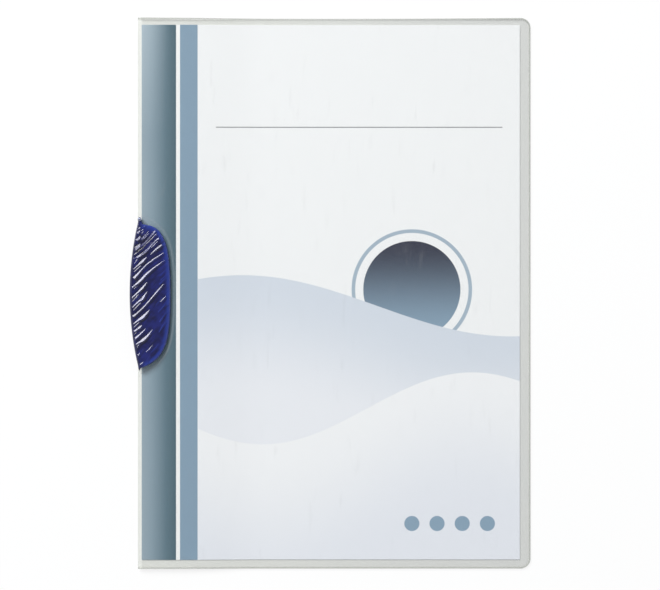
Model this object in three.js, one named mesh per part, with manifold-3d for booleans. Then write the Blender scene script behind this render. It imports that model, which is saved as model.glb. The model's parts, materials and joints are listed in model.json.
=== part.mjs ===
// A4 clip folder that lies on its back: a frosted back cover and a clear front cover welded along the
// spine, a printed title sheet between them, and a moulded clip that swings out on a rivet at the spine.
// Millimetres. X runs from the spine to the open side, Y up the page, Z up from the table.
// The origin is the middle of the back cover, on the table.
import * as THREE from "three";
import { mergeVertices } from "three/addons/utils/BufferGeometryUtils.js";
import Module from "manifold-3d";

// Covers
const coverWidth = 218;
const coverHeight = 306;
const coverCornerRadius = 5.5;
const filmThickness = 0.3;
const weldWidth = 1;
const weldRampWidth = 2;

// Title sheet: an upright A4 card
const sheetWidth = 210;
const sheetHeight = 297;
const sheetThickness = 0.25;
const sheetSpineMargin = 2.1;
const sheetTopMargin = 4;

// Air that stays between things that lie on each other, and between things that slide
const restGap = 0.1;
const slideGap = 0.1;

// The covers come down from the clip's back plate to the table over this stretch
const settleLength = 44;

// The line along which the front cover bends open beside the clip
const bendLineFromClip = 5.3;
const bendGap = 0.4;

// Seat pressed into the front cover for the clip's wing
const seatMargin = 2;
const seatBevelWidth = 2.2;
const seatDepth = 0.45;

// Clip, seen from the front
const wingLength = 85.2;
const wingMiddleY = -0.5;
const wingReach = 18.2;
const spineBulge = 4.6;
const spineArcRadius = 182;
const wallSetback = 0.3;
const wingStraightLength = 5;
const wingEndSlope = 20;
const wingEndHandle = 15;
const wingSideHandle = 26;
const wingEndWidth = 0.5;

// Clip, in section
const plateThickness = 1.3;
const wingThickness = 1.5;
const wallThickness = 1.4;
const wingRise = 0.155;
const wingRiseLossAtEnds = 0.45;
const coverEdgeClearance = 0.35;
const wallRounding = 2;
const rimRounding = 1.2;
const rimDrop = 0.8;
const endRounding = 1;

// Back plate of the clip: a lens that runs on past the lower end of the wing
const plateReach = 20.5;
const plateTail = 14;
const plateEndRadius = 4.5;
const plateEdgeBevel = 0.25;

// Crumpled relief of the wing
const foldAngle = 49;
const foldPitch = 1.5;
const foldHeight = 0.42;
const foldHalfWidth = 0.8;
const foldShortest = 11;
const foldLongest = 30;
const foldStartScatter = 3.5;
const innerFoldStart = 11;
const foldBow = 1.5;
const panelRise = 0.07;
const reliefStepAlong = 2;
const reliefStepAcross = 0.45;
const roofStep = 6;
const shortestEdge = 0.004;

// How far a cutting shape runs past what it cuts
const cutOverrun = 15;

// Rivet that the clip swings on
const pivotFromSpine = 1.3;
const pivotFromWingTop = 1.3;
const rivetRadius = 0.55;
const rivetClearance = 0.2;
const rivetHeadRadius = 0.95;
const rivetHeadHeight = 0.4;
const rivetEndRecess = 0.1;
const hubRadius = 1.3;

const wasm = await Module();
wasm.setup();

// Closed geometry to a solid that can be cut and joined.
function toSolid(geometry) {
  const bare = geometry.clone();
  bare.deleteAttribute("normal");
  bare.deleteAttribute("uv");
  const merged = mergeVertices(bare, 1e-4);
  return new wasm.Manifold(
    new wasm.Mesh({
      numProp: 3,
      vertProperties: new Float32Array(merged.attributes.position.array),
      triVerts: new Uint32Array(merged.index.array),
    }),
  );
}

// Solid back to geometry.
function toGeometry(solid) {
  const { vertProperties, triVerts } = solid.getMesh();
  const geometry = new THREE.BufferGeometry();
  geometry.setAttribute("position", new THREE.BufferAttribute(vertProperties, 3));
  geometry.setIndex(new THREE.BufferAttribute(triVerts, 1));
  return geometry;
}

// Points of an outline, each once.
function outlinePoints(shape, divisions) {
  const points = shape.getPoints(divisions);
  return points.filter((point, i) => point.distanceTo(points[(i + 1) % points.length]) > 1e-4);
}

// Outline drawn on the page, raised from one height to another.
function upright(shape, low, high, curveSegments = 12) {
  const options = { depth: high - low, bevelEnabled: false, curveSegments };
  return toSolid(new THREE.ExtrudeGeometry(shape, options).translate(0, 0, low));
}

// Outline of X and Z, run along the page from one Y to another.
function alongPage(points, low, high) {
  const options = { depth: high - low, bevelEnabled: false };
  const geometry = new THREE.ExtrudeGeometry(new THREE.Shape(points), options);
  return toSolid(geometry.rotateX(Math.PI / 2).translate(0, high, 0));
}

// Rings of equal count, lowest first and each anticlockwise from above, skinned and closed at both ends.
function loft(rings) {
  const count = rings[0].length;
  const positions = rings.flat().flatMap((point) => [point.x, point.y, point.z]);
  const faces = [];
  for (let ring = 0; ring + 1 < rings.length; ring += 1) {
    for (let i = 0; i < count; i += 1) {
      const here = ring * count + i;
      const next = ring * count + ((i + 1) % count);
      faces.push(here, next, next + count, here, next + count, here + count);
    }
  }
  const capOf = (ring) => THREE.ShapeUtils.triangulateShape(ring.map((p) => new THREE.Vector2(p.x, p.y)), []);
  const top = (rings.length - 1) * count;
  for (const [a, b, c] of capOf(rings[0])) faces.push(a, c, b);
  for (const [a, b, c] of capOf(rings.at(-1))) faces.push(top + a, top + b, top + c);
  const geometry = new THREE.BufferGeometry();
  geometry.setAttribute("position", new THREE.Float32BufferAttribute(positions, 3));
  geometry.setIndex(faces);
  return toSolid(geometry);
}

const smooth = (t) => THREE.MathUtils.smoothstep(t, 0, 1);
const mix = THREE.MathUtils.lerp;

// Heights of the layers: each is its underside over the table where the covers lie flat.
const sheetLevel = filmThickness + restGap;
const frontLevel = sheetLevel + sheetThickness + restGap;
const clipLift = plateThickness + slideGap;
const bendLineX = wingReach + bendLineFromClip;
const settled = (x) => smooth((x - bendLineX) / settleLength);
const heightAt = (x, level) => clipLift * (1 - settled(x)) + level;
const seatTop = clipLift + frontLevel + filmThickness;
const raisedTop = seatTop + seatDepth;

const coverTopY = coverHeight / 2;
const wingTopY = wingMiddleY + wingLength / 2;
const wingLowY = wingMiddleY - wingLength / 2;
const pivotY = wingTopY - pivotFromWingTop;

// Cover or sheet with its own outline, whose underside follows a height over the table.
function layer(outline, fromX, toX, underside, thickness) {
  const steps = 12;
  const stations = [fromX];
  for (let i = 0; i <= steps; i += 1) {
    const x = bendLineX + (settleLength * i) / steps;
    if (x > fromX && x < toX) stations.push(x);
  }
  stations.push(toX);
  const below = stations.map((x) => new THREE.Vector2(x, underside(x)));
  const above = stations.map((x) => new THREE.Vector2(x, underside(x) + thickness)).reverse();
  const { min, max } = new THREE.Box2().setFromPoints(outline.getPoints());
  const run = alongPage([...below, ...above], min.y, max.y);
  return run.intersect(upright(outline, -cutOverrun, raisedTop + cutOverrun));
}

// Cover outline from a given X to the open side, where its corners are rounded.
function coverOutline(fromX) {
  const r = coverCornerRadius;
  const shape = new THREE.Shape();
  shape.moveTo(fromX, -coverTopY);
  shape.lineTo(coverWidth - r, -coverTopY);
  shape.absarc(coverWidth - r, -coverTopY + r, r, -Math.PI / 2, 0, false);
  shape.absarc(coverWidth - r, coverTopY - r, r, 0, Math.PI / 2, false);
  shape.lineTo(fromX, coverTopY);
  return shape;
}

function boxOutline(lowX, highX, lowY, highY) {
  return new THREE.Shape([
    new THREE.Vector2(lowX, lowY),
    new THREE.Vector2(highX, lowY),
    new THREE.Vector2(highX, highY),
    new THREE.Vector2(lowX, highY),
  ]);
}

// Round hole or pin on the pivot.
function pivotRound(radius, low, high) {
  const shape = new THREE.Shape().absarc(pivotFromSpine, pivotY, radius, 0, 2 * Math.PI, false);
  return upright(shape, low, high, 12);
}

const pivotHole = () => pivotRound(rivetRadius + rivetClearance, -cutOverrun, raisedTop + cutOverrun);

// X of the clip's outer arc, set in from the plate's edge.
const arcCentreX = spineArcRadius - spineBulge;
const arcX = (y, inset) => {
  const r = spineArcRadius - inset;
  return arcCentreX - Math.sqrt(r * r - (y - wingMiddleY) ** 2);
};

// Outline of the wing: an arc over the spine, rounded corners and a straight pressing edge.
function wingOutline() {
  const slope = THREE.MathUtils.degToRad(wingEndSlope);
  const handleX = wingEndHandle * Math.cos(slope);
  const handleY = wingEndHandle * Math.sin(slope);
  const straight = wingStraightLength / 2;
  const r = spineArcRadius - wallSetback;
  const endY = wingLength / 2 - endRounding;
  const endAngle = Math.asin(endY / r);
  const endX = arcX(wingMiddleY + endY, wallSetback) + wingEndWidth;
  const shape = new THREE.Shape();
  shape.moveTo(endX, wingMiddleY - endY);
  shape.bezierCurveTo(
    endX + handleX,
    wingMiddleY - endY + handleY,
    wingReach,
    wingMiddleY - straight - wingSideHandle,
    wingReach,
    wingMiddleY - straight,
  );
  shape.lineTo(wingReach, wingMiddleY + straight);
  shape.bezierCurveTo(
    wingReach,
    wingMiddleY + straight + wingSideHandle,
    endX + handleX,
    wingMiddleY + endY - handleY,
    endX,
    wingMiddleY + endY,
  );
  shape.absarc(arcCentreX, wingMiddleY, r, Math.PI - endAngle, Math.PI + endAngle, false);
  return shape;
}

// Points of the wing's outline, moved in from the spine side, the pressing side and the ends.
function wingRing(spineInset, reachInset, endInset, heightOf) {
  const points = outlinePoints(wingOutline(), 11);
  const low = -spineBulge + wallSetback;
  const spanX = wingReach - low;
  return points.map((p) => {
    const x = low + spineInset + ((p.x - low) * (spanX - spineInset - reachInset)) / spanX;
    const y = wingMiddleY + (p.y - wingMiddleY) * (1 - (2 * endInset) / wingLength);
    return new THREE.Vector3(x, y, heightOf(x, y));
  });
}

// Upper face of the wing without its relief: it slopes down to the pressing edge, less so at the ends.
function roof(x, y) {
  const end = (y - wingMiddleY) / (wingLength / 2);
  const rise = wingRise * (1 - wingRiseLossAtEnds * end * end);
  return seatTop + slideGap + wingThickness + (wingReach - x) * rise;
}

// Repeatable scatter from 0 to 1.
function scatter(seed) {
  const wave = Math.sin(seed * 12.9898 + 4.1414) * 43758.5453;
  return wave - Math.floor(wave);
}

// Place along the fold direction where a line at a place across it leaves the spine side of the wing.
function spineSide(across) {
  const angle = THREE.MathUtils.degToRad(foldAngle);
  return (across * Math.sin(angle) - (wingReach + spineBulge) / 2) / Math.cos(angle);
}

// Folds of the relief: most start at the spine side and every third one further in.
const foldSpan = wingLength * 0.82;
const folds = Array.from({ length: Math.ceil(foldSpan / foldPitch) }, (_, i) => {
  const across = foldPitch * (i + 0.7 * scatter(i)) - foldSpan * 0.46;
  const inner = i % 3 === 2;
  const inset = inner ? innerFoldStart * (0.5 + scatter(i + 100)) : foldStartScatter * scatter(i + 100);
  return {
    across,
    start: spineSide(across) + inset,
    length: mix(foldShortest, foldLongest, scatter(i + 200)) * (inner ? 0.6 : 1),
    height: foldHeight * mix(0.5, 1, scatter(i + 300)) * (inner ? 0.6 : 1),
    bow: foldBow * scatter(i + 400),
  };
});

// Height of the relief at a place along and across the fold direction: each fold is a crest that rises
// soon after its start and runs out thin.
function relief(along, across) {
  let height = 0;
  for (const fold of folds) {
    const t = (along - fold.start) / fold.length;
    if (t <= 0 || t >= 1) continue;
    const crest = fold.across + fold.bow * 4 * t * (1 - t);
    const strength = Math.min(1, 8 * t) * Math.sqrt(1 - t);
    const side = Math.abs(across - crest) / (foldHalfWidth * (0.6 + 0.4 * strength));
    height = Math.max(height, fold.height * strength * Math.max(0, 1 - side));
  }
  return height;
}

// Block under a surface, sampled on a lattice that is turned to lie along the folds.
function blockUnder(stepAlong, stepAcross, heightOf) {
  const angle = THREE.MathUtils.degToRad(foldAngle);
  const centre = new THREE.Vector2((wingReach - spineBulge) / 2, wingMiddleY);
  const alongAxis = new THREE.Vector2(Math.cos(angle), Math.sin(angle));
  const acrossAxis = new THREE.Vector2(-Math.sin(angle), Math.cos(angle));
  const reach = wingLength / 2 + wingReach + cutOverrun;
  const rows = Math.ceil((2 * reach) / stepAcross);
  const columns = Math.ceil((2 * reach) / stepAlong);
  const count = (rows + 1) * (columns + 1);
  const positions = new Float32Array(count * 6);
  for (let row = 0; row <= rows; row += 1) {
    for (let column = 0; column <= columns; column += 1) {
      const along = -reach + column * stepAlong;
      const across = -reach + row * stepAcross;
      const x = centre.x + along * alongAxis.x + across * acrossAxis.x;
      const y = centre.y + along * alongAxis.y + across * acrossAxis.y;
      const index = row * (columns + 1) + column;
      positions.set([x, y, heightOf(x, y, along, across)], index * 3);
      positions.set([x, y, -cutOverrun], (count + index) * 3);
    }
  }
  const faces = [];
  const edge = (a, b) => faces.push(a, count + a, count + b, a, count + b, b);
  for (let row = 0; row < rows; row += 1) {
    for (let column = 0; column < columns; column += 1) {
      const a = row * (columns + 1) + column;
      const b = a + 1;
      const c = b + columns + 1;
      const d = a + columns + 1;
      faces.push(a, b, c, a, c, d);
      faces.push(count + a, count + c, count + b, count + a, count + d, count + c);
    }
  }
  const corner = rows * (columns + 1);
  for (let column = 0; column < columns; column += 1) {
    edge(column, column + 1);
    edge(corner + column + 1, corner + column);
  }
  for (let row = 0; row < rows; row += 1) {
    const a = row * (columns + 1);
    edge(a + columns + 1, a);
    edge(a + columns, a + 2 * columns + 1);
  }
  const geometry = new THREE.BufferGeometry();
  geometry.setAttribute("position", new THREE.BufferAttribute(positions, 3));
  geometry.setIndex(faces);
  return toSolid(geometry);
}

// Lens-shaped back plate: the spine arc on one side, a rounder arc on the other, round at the far end.
function plateOutline() {
  const tail = wingLowY - plateTail;
  const shape = new THREE.Shape();
  const lowEndX = arcX(tail + plateEndRadius, 0) + plateEndRadius;
  const topAngle = Math.asin((pivotY - 1.5 * hubRadius - wingMiddleY) / spineArcRadius);
  const lowAngle = Math.asin((wingMiddleY - tail - plateEndRadius) / spineArcRadius);
  const middleY = (pivotY + tail) / 2;
  const shoulder = (pivotY - tail) * 0.3;
  const overshoot = plateReach * 0.03;
  shape.absarc(arcCentreX, wingMiddleY, spineArcRadius, Math.PI - topAngle, Math.PI + lowAngle, false);
  shape.absarc(lowEndX, tail + plateEndRadius, plateEndRadius, Math.PI, 1.88 * Math.PI, false);
  shape.bezierCurveTo(
    plateReach - overshoot,
    tail + plateEndRadius + 0.3 * shoulder,
    plateReach,
    middleY - shoulder * 0.6,
    plateReach,
    middleY,
  );
  shape.bezierCurveTo(
    plateReach,
    middleY + shoulder,
    pivotFromSpine + 3 * hubRadius,
    pivotY - 2 * hubRadius,
    pivotFromSpine + hubRadius,
    pivotY,
  );
  shape.absarc(pivotFromSpine, pivotY, hubRadius, 0, 0.97 * Math.PI, false);
  return shape;
}

// Closed outline moved inwards by a small inset, at one height.
function insetRing(points, inset, height) {
  return points.map((point, i) => {
    const before = points.at(i - 1);
    const after = points[(i + 1) % points.length];
    const run = after.clone().sub(before).normalize();
    return new THREE.Vector3(point.x - run.y * inset, point.y + run.x * inset, height);
  });
}

function backPlate() {
  const points = outlinePoints(plateOutline(), 10);
  const bevel = plateEdgeBevel;
  return loft([
    insetRing(points, bevel, 0),
    insetRing(points, 0, bevel),
    insetRing(points, 0, plateThickness - bevel),
    insetRing(points, bevel, plateThickness),
  ]);
}

// Wing and wall before the throat is cut: a rounded shoulder all round, and the relief inside it.
function wingBody() {
  const shoulderSteps = 3;
  const rings = [wingRing(0, 0, 0, () => plateThickness / 2)];
  for (let i = 0; i <= shoulderSteps; i += 1) {
    const turn = (Math.PI / 2) * (i / shoulderSteps);
    const inward = 1 - Math.cos(turn);
    const down = (x) => mix(wallRounding, rimDrop, smooth((x + spineBulge) / wingReach)) * (1 - Math.sin(turn));
    const heightOf = (x, y) => roof(x, y) - down(x);
    rings.push(wingRing(wallRounding * inward, rimRounding * inward, endRounding * inward, heightOf));
  }
  rings.push(wingRing(wallRounding, rimRounding, endRounding, () => raisedTop + cutOverrun));
  const crumpled = blockUnder(reliefStepAlong, reliefStepAcross, (x, y, along, across) => {
    return roof(x, y) + panelRise + relief(along, across);
  });
  return loft(rings).intersect(crumpled);
}

// Space under the wing: open at the pressing side and at both ends, closed by the wall.
function throat() {
  const reach = wingLength / 2 + cutOverrun;
  const steps = 30;
  const points = [];
  for (let i = 0; i <= steps; i += 1) {
    const y = wingMiddleY + reach - (2 * reach * i) / steps;
    points.push(new THREE.Vector2(Math.min(arcX(y, wallSetback + wallThickness), -coverEdgeClearance), y));
  }
  points.push(new THREE.Vector2(wingReach + cutOverrun, wingMiddleY - reach));
  points.push(new THREE.Vector2(wingReach + cutOverrun, wingMiddleY + reach));
  const space = upright(new THREE.Shape(points), 0, raisedTop + cutOverrun);
  return space.intersect(blockUnder(roofStep, roofStep, (x, y) => roof(x, y) - wingThickness));
}

// One moulding: wing, wall and plate, with a hub under the rivet's head. Edges too short to see are merged.
function clip() {
  const hub = pivotRound(hubRadius, seatTop + slideGap, roof(pivotFromSpine, pivotY));
  const moulding = wingBody().subtract(throat()).add(backPlate()).add(hub).subtract(pivotHole());
  return moulding.simplify(shortestEdge);
}

// Rivet: a shank with a low domed head over the wing's hub, flush at the back.
function rivet() {
  const seat = roof(pivotFromSpine, pivotY);
  const profile = [new THREE.Vector2(0, rivetEndRecess), new THREE.Vector2(rivetRadius, rivetEndRecess)];
  profile.push(new THREE.Vector2(rivetRadius, seat + slideGap));
  const domeSteps = 4;
  for (let i = 0; i <= domeSteps; i += 1) {
    const turn = (Math.PI / 2) * (i / domeSteps);
    const height = seat + slideGap + rivetHeadHeight * Math.sin(turn);
    profile.push(new THREE.Vector2(i === domeSteps ? 0 : rivetHeadRadius * Math.cos(turn), height));
  }
  const geometry = new THREE.LatheGeometry(profile, 24).rotateX(Math.PI / 2);
  return toSolid(geometry.translate(pivotFromSpine, pivotY, 0));
}

function backCover() {
  return layer(coverOutline(0), 0, coverWidth, (x) => heightAt(x, 0), filmThickness).subtract(pivotHole());
}

function titleSheet() {
  const top = coverTopY - sheetTopMargin;
  const endX = sheetSpineMargin + sheetWidth;
  const outline = boxOutline(sheetSpineMargin, endX, top - sheetHeight, top);
  return layer(outline, sheetSpineMargin, endX, (x) => heightAt(x, sheetLevel), sheetThickness);
}

// Front cover beyond the bend line.
function frontCover() {
  const fromX = bendLineX + bendGap / 2;
  const underside = (x) => heightAt(x, frontLevel) + seatDepth * (1 - settled(x));
  return layer(coverOutline(fromX), fromX, coverWidth, underside, filmThickness);
}

// Space over the front cover between the spine and the bend line: the ramp down to the weld, and the
// seat pressed in for the wing.
function spaceOverStrip() {
  const weldTop = clipLift + 2 * filmThickness;
  const far = cutOverrun;
  const ramp = alongPage(
    [
      new THREE.Vector2(-far, weldTop),
      new THREE.Vector2(weldWidth, weldTop),
      new THREE.Vector2(weldWidth + weldRampWidth, raisedTop),
      new THREE.Vector2(weldWidth + weldRampWidth, raisedTop + far),
      new THREE.Vector2(-far, raisedTop + far),
    ],
    -coverTopY - far,
    coverTopY + far,
  );
  const ringAt = (grow, height) => wingRing(-grow, -grow, -grow, () => height);
  const bevelled = seatMargin + seatBevelWidth;
  const seat = loft([ringAt(seatMargin, seatTop), ringAt(bevelled, raisedTop), ringAt(bevelled, raisedTop + far)]);
  return ramp.add(seat);
}

// Front cover from the spine to the bend line, welded to the back cover along the spine.
function frontCoverSpineStrip() {
  const endX = bendLineX - bendGap / 2;
  const space = spaceOverStrip();
  const over = upright(boxOutline(0, endX, -coverTopY, coverTopY), 0, raisedTop).subtract(space);
  const far = cutOverrun;
  const grown = upright(boxOutline(-far, endX + far, -coverTopY - far, coverTopY + far), -far, raisedTop);
  const under = grown.subtract(space).translate([0, 0, -filmThickness]);
  return over.subtract(under).subtract(pivotHole());
}

// Named mesh with its own finish.
function piece(name, solid, color, roughness, metalness, more = {}) {
  const material = new THREE.MeshStandardMaterial({ color, roughness, metalness, flatShading: true, ...more });
  const mesh = new THREE.Mesh(toGeometry(solid), material);
  mesh.name = name;
  return mesh;
}

const clearFilm = { transparent: true, opacity: 0.25 };
const group = new THREE.Group();
group.name = "clip_folder";
group.position.x = -coverWidth / 2;
group.add(
  piece("back_cover", backCover(), 0xdfe2e0, 0.5, 0, { transparent: true, opacity: 0.8 }),
  piece("title_sheet", titleSheet(), 0xefefef, 0.6, 0),
  piece("front_cover_spine_strip", frontCoverSpineStrip(), 0xe8eeee, 0.12, 0, clearFilm),
  piece("front_cover", frontCover(), 0xe8eeee, 0.12, 0, clearFilm),
  piece("clip", clip(), 0x202a66, 0.3, 0),
  piece("clip_rivet", rivet(), 0x9aa0b4, 0.35, 0.9),
);

export default group;
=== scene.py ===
"""Looks of an A4 clip folder: two films, a printed sheet between them, and a moulded clip on a rivet."""

import json
import logging
import math
import random
from collections.abc import Callable, Sequence
from dataclasses import dataclass
from enum import Enum

import bmesh
import bpy
import numpy as np
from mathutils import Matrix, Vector


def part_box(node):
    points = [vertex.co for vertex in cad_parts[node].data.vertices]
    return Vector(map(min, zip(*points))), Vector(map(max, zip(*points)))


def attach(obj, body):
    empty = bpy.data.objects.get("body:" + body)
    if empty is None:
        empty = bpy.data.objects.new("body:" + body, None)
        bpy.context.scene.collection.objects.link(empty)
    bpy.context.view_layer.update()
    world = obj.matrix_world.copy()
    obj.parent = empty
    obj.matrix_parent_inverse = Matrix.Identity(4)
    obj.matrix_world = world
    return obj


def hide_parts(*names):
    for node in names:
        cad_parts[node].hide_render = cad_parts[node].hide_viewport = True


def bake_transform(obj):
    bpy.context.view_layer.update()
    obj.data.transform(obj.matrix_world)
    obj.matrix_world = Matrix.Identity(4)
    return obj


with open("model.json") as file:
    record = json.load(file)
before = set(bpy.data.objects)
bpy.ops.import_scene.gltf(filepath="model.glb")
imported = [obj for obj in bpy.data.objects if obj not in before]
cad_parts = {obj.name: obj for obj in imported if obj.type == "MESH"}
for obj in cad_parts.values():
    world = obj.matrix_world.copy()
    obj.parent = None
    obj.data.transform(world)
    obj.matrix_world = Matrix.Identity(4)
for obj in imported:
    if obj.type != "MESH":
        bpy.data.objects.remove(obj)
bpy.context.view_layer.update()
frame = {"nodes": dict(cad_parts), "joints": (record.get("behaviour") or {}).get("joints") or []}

log = logging.getLogger("clip_folder")

MM = 0.001
PHOTO_WIDTH_PX = 660

Colour = tuple[float, float, float]
Line = Sequence[Sequence[float]]


class Body(Enum):
    """The rigid bodies of the folder."""

    FOLDER = "folder"
    LEAF = "front_leaf"
    CLIP = "swing_clip"


class Shading(Enum):
    """How the faces of a mesh meet in the light."""

    SMOOTH = "smooth"
    BY_ANGLE = "by_angle"


class Term:
    """An output socket whose operators add Math nodes to its material."""

    def __init__(self, graph: "Graph", socket: bpy.types.NodeSocket) -> None:
        """Keeps the graph and the socket."""
        self.graph = graph
        self.socket = socket

    def _math(self, operation: str, *values: "Term | float") -> "Term":
        """Adds one Math node.

        Args:
            operation: The node's operation.
            values: Its inputs, in order.

        Returns:
            The node's result.
        """
        inputs = dict(enumerate(values))
        return self.graph.node("ShaderNodeMath", {"operation": operation}, inputs)

    def __add__(self, other: "Term | float") -> "Term":
        """Sum."""
        return self._math("ADD", self, other)

    __radd__ = __add__

    def __sub__(self, other: "Term | float") -> "Term":
        """Difference."""
        return self._math("SUBTRACT", self, other)

    def __rsub__(self, other: float) -> "Term":
        """Difference from a number."""
        return self._math("SUBTRACT", other, self)

    def __mul__(self, other: "Term | float") -> "Term":
        """Product."""
        return self._math("MULTIPLY", self, other)

    __rmul__ = __mul__

    def __truediv__(self, other: "Term | float") -> "Term":
        """Quotient."""
        return self._math("DIVIDE", self, other)

    def __abs__(self) -> "Term":
        """Size without its sign."""
        return self._math("ABSOLUTE", self)

    def power(self, exponent: float) -> "Term":
        """Power."""
        return self._math("POWER", self, exponent)

    def root(self) -> "Term":
        """Square root."""
        return self._math("SQRT", self)

    def sine(self) -> "Term":
        """Sine of an angle in radians."""
        return self._math("SINE", self)

    def least(self, other: "Term | float") -> "Term":
        """Lower of two."""
        return self._math("MINIMUM", self, other)

    def most(self, other: "Term | float") -> "Term":
        """Higher of two."""
        return self._math("MAXIMUM", self, other)

    def ramp(self, low: float, high: float, to_low: float = 0.0, to_high: float = 1.0) -> "Term":
        """Maps a stretch of values smoothly onto another, and holds at its ends.

        Args:
            low: Value that becomes to_low.
            high: Value that becomes to_high.
            to_low: Result at the low end.
            to_high: Result at the high end.

        Returns:
            The mapped value.
        """
        settings = {"interpolation_type": "SMOOTHSTEP"}
        inputs = {"Value": self, "From Min": low, "From Max": high, "To Min": to_low, "To Max": to_high}
        return self.graph.node("ShaderNodeMapRange", settings, inputs)


class Graph:
    """Node tree of one material, with a Principled shader at its end."""

    def __init__(self, name: str, **fixed: object) -> None:
        """Starts a material.

        Args:
            name: The material's name.
            fixed: Values of the Principled shader's own sockets, with underscores for spaces.
        """
        self.material = bpy.data.materials.new(name)
        self.material.use_nodes = True
        self.tree = self.material.node_tree
        self.tree.nodes.clear()
        self.output = self.tree.nodes.new("ShaderNodeOutputMaterial")
        self.shader = self.tree.nodes.new("ShaderNodeBsdfPrincipled")
        self.tree.links.new(self.shader.outputs["BSDF"], self.output.inputs["Surface"])
        for socket, value in fixed.items():
            self.shader.inputs[socket.replace("_", " ")].default_value = value

    def node(
        self,
        kind: str,
        settings: dict[str, object] | None = None,
        inputs: dict[str | int, object] | None = None,
        output: str | int = 0,
    ) -> Term:
        """Adds a node.

        Args:
            kind: The node's type.
            settings: Attributes of the node, set first.
            inputs: Values or terms for its sockets, by name or number.
            output: The socket to return.

        Returns:
            The chosen output.
        """
        made = self.tree.nodes.new(kind)
        for name, value in (settings or {}).items():
            setattr(made, name, value)
        for name, value in (inputs or {}).items():
            self.plug(made.inputs[name], value)
        return Term(self, made.outputs[output])

    def plug(self, socket: bpy.types.NodeSocket, value: object) -> None:
        """Links a term to a socket, or sets the socket's own value."""
        if isinstance(value, Term):
            self.tree.links.new(value.socket, socket)
        else:
            socket.default_value = value

    def feed(self, socket: str, value: Term) -> None:
        """Feeds a socket of the Principled shader."""
        self.plug(self.shader.inputs[socket], value)

    def place(self) -> tuple[Term, Term, Term]:
        """X, Y and Z of the object's own coordinates, in metres."""
        where = self.node("ShaderNodeTexCoord", output="Object")
        split = self.node("ShaderNodeSeparateXYZ", inputs={0: where}).socket.node
        return tuple(Term(self, split.outputs[axis]) for axis in "XYZ")

    def blend(self, factor: "Term | float", first: object, second: object) -> Term:
        """Mixes two colours."""
        inputs = {"Factor": factor, 6: first, 7: second}
        return self.node("ShaderNodeMix", {"data_type": "RGBA"}, inputs, output=2)

    def share(self, value: Term, low: float, high: float) -> Term:
        """Even share of the way from low to high, held at both ends."""
        inputs = {"Value": value, "From Min": low, "From Max": high}
        return self.node("ShaderNodeMapRange", {}, inputs)

    def noise(self, scale: float, detail: float = 2.0, stretch: Sequence[float] = (1, 1, 1)) -> Term:
        """Noise on object coordinates.

        Args:
            scale: Waves per metre.
            detail: Octaves.
            stretch: Scale along each axis.

        Returns:
            The noise, around 0.5.
        """
        where = self.node("ShaderNodeTexCoord", output="Object")
        mapped = self.node("ShaderNodeMapping", {}, {"Vector": where, "Scale": stretch})
        inputs = {"Vector": mapped, "Scale": scale, "Detail": detail}
        return self.node("ShaderNodeTexNoise", {}, inputs)

    def bumped(self, height: Term, strength: float, distance: float) -> Term:
        """Normal of a surface with this height on it."""
        inputs = {"Height": height, "Strength": strength, "Distance": distance}
        return self.node("ShaderNodeBump", {}, inputs)

    def bump(self, height: Term, strength: float, distance: float) -> None:
        """Feeds the shader's normal from a height."""
        self.feed("Normal", self.bumped(height, strength, distance))

    def attribute(self, name: str) -> Term:
        """Value stored at the mesh's vertices."""
        return self.node("ShaderNodeAttribute", {"attribute_name": name}, output="Fac")

    def sight(self) -> Term:
        """1 for what the camera sees, also in or through a surface, and 0 for light."""
        camera = self.node("ShaderNodeLightPath", output="Is Camera Ray")
        rays = camera.socket.node.outputs
        surfaces = Term(self, rays["Is Glossy Ray"]) + Term(self, rays["Is Transmission Ray"])
        return (camera + surfaces).least(1.0)


class Surroundings(Graph):
    """Node tree of the world."""

    def __init__(self, name: str) -> None:
        """Starts a world and puts it into the scene."""
        world = bpy.data.worlds.new(name)
        bpy.context.scene.world = world
        world.use_nodes = True
        self.tree = world.node_tree
        self.tree.nodes.clear()
        self.output = self.tree.nodes.new("ShaderNodeOutputWorld")


def linear(red: float, green: float, blue: float) -> tuple[float, float, float, float]:
    """Colour of 0 to 255 parts, as a screen shows it, in the shader's linear parts."""

    def part(value: float) -> float:
        """One channel."""
        share = value / 255
        return share / 12.92 if share <= 0.04045 else ((share + 0.055) / 1.055) ** 2.4

    return (part(red), part(green), part(blue), 1.0)


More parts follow.
